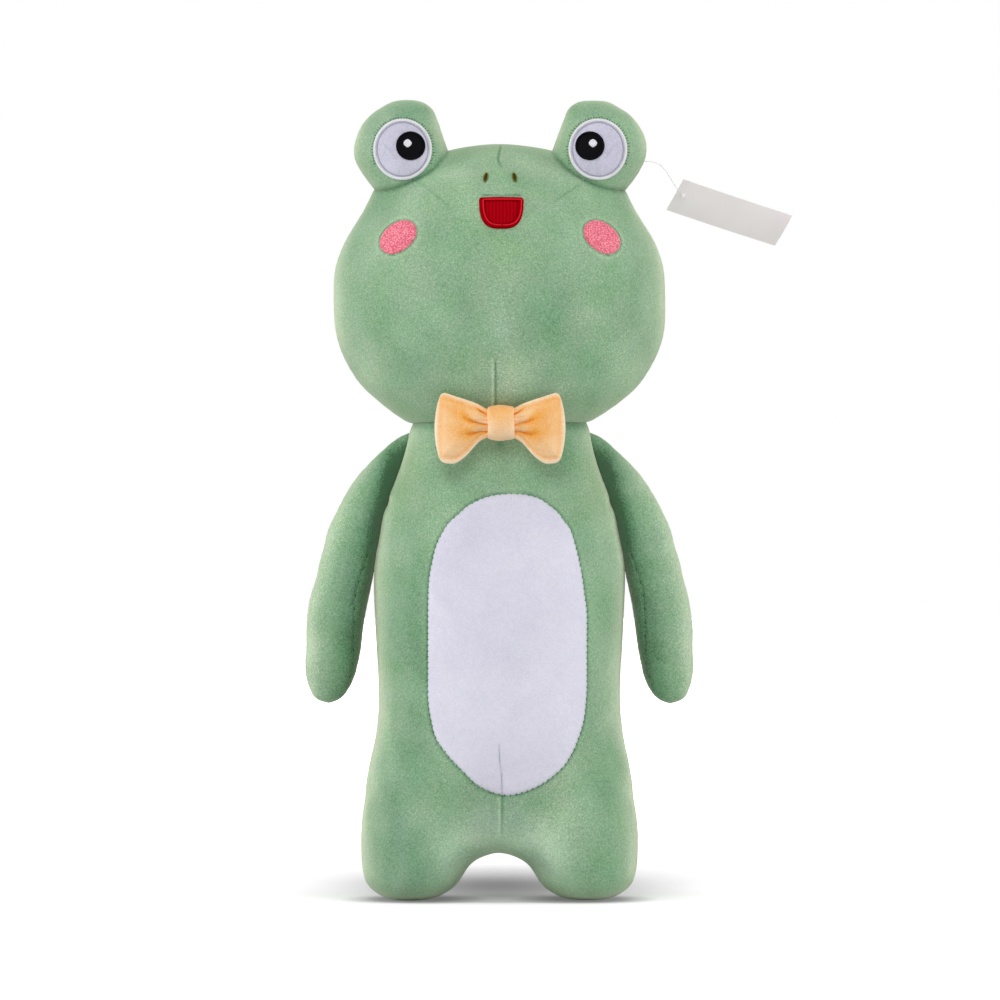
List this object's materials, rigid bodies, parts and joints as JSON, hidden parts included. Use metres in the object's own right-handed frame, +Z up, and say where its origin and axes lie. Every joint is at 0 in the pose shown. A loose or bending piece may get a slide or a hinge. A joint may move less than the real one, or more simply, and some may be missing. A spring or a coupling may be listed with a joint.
{
  "type": "plush frog",
  "caption": "Standing plush frog with stub legs, hanging arms, raised eyes, a white belly, a bow tie and a hang tag.",
  "frame": {"origin": "on the floor under the middle of the toy, in the plane of the side seams", "axes": "+Z up, the face looks along -Y, the toy's own left is +X"},
  "size_m": [0.3639, 0.178, 0.6],
  "materials": {
    "plush_green": "matte",
    "plush_white": "matte",
    "fibre_fill": "matte",
    "thread_black": "matte",
    "thread_white": "matte",
    "thread_olive": "matte",
    "thread_red": "matte",
    "thread_bright_red": "matte",
    "plush_pink": "matte",
    "satin_orange": "satin",
    "tag_card": "matte",
    "nylon": "gloss"
  },
  "bodies": {
    "body": {"body_front_cover": "plush_green", "belly_panel": "plush_white", "body_back_cover": "plush_green", "body_stuffing": "fibre_fill"},
    "head": {"head_front_cover": "plush_green", "head_back_cover": "plush_green", "head_stuffing": "fibre_fill", "left_eye_pod_front_cover": "plush_green", "left_eye_pod_back_cover": "plush_green", "left_eye_pod_stuffing": "fibre_fill", "right_eye_pod_front_cover": "plush_green", "right_eye_pod_back_cover": "plush_green", "right_eye_pod_stuffing": "fibre_fill", "left_eye_white": "plush_white", "left_pupil": "thread_black", "left_eye_highlight": "thread_white", "left_nostril": "thread_olive", "left_cheek": "plush_pink", "right_eye_white": "plush_white", "right_pupil": "thread_black", "right_eye_highlight": "thread_white", "right_nostril": "thread_olive", "right_cheek": "plush_pink", "mouth_lining": "thread_red", "mouth_border": "thread_bright_red", "bow_tie_wings": "satin_orange", "bow_tie_band": "satin_orange"},
    "left_arm": {"left_arm_front_cover": "plush_green", "left_arm_back_cover": "plush_green", "left_arm_stuffing": "fibre_fill"},
    "right_arm": {"right_arm_front_cover": "plush_green", "right_arm_back_cover": "plush_green", "right_arm_stuffing": "fibre_fill"},
    "tag": {"hang_tag": "tag_card", "tag_filament": "nylon", "tag_pin_head": "nylon"}
  },
  "joints": [
    {"name": "head_nod", "type": "hinge", "parent": "body", "child": "head", "pos_m": [0, 0, 0.358], "axis": [1, 0, 0], "range_deg": [-12, 12], "stiffness_Nm_per_rad": 3},
    {"name": "left_arm_raise", "type": "hinge", "parent": "body", "child": "left_arm", "pos_m": [0.07014, 0, 0.349], "axis": [0, -1, 0], "range_deg": [0, 75]},
    {"name": "right_arm_raise", "type": "hinge", "parent": "body", "child": "right_arm", "pos_m": [-0.07014, 0, 0.349], "axis": [0, 1, 0], "range_deg": [0, 75]},
    {"name": "tag_swing", "type": "hinge", "parent": "head", "child": "tag", "pos_m": [0.1079, 0, 0.5542], "axis": [0, 1, 0], "range_deg": [-35, 15], "stiffness_Nm_per_rad": 0.02}
  ]
}
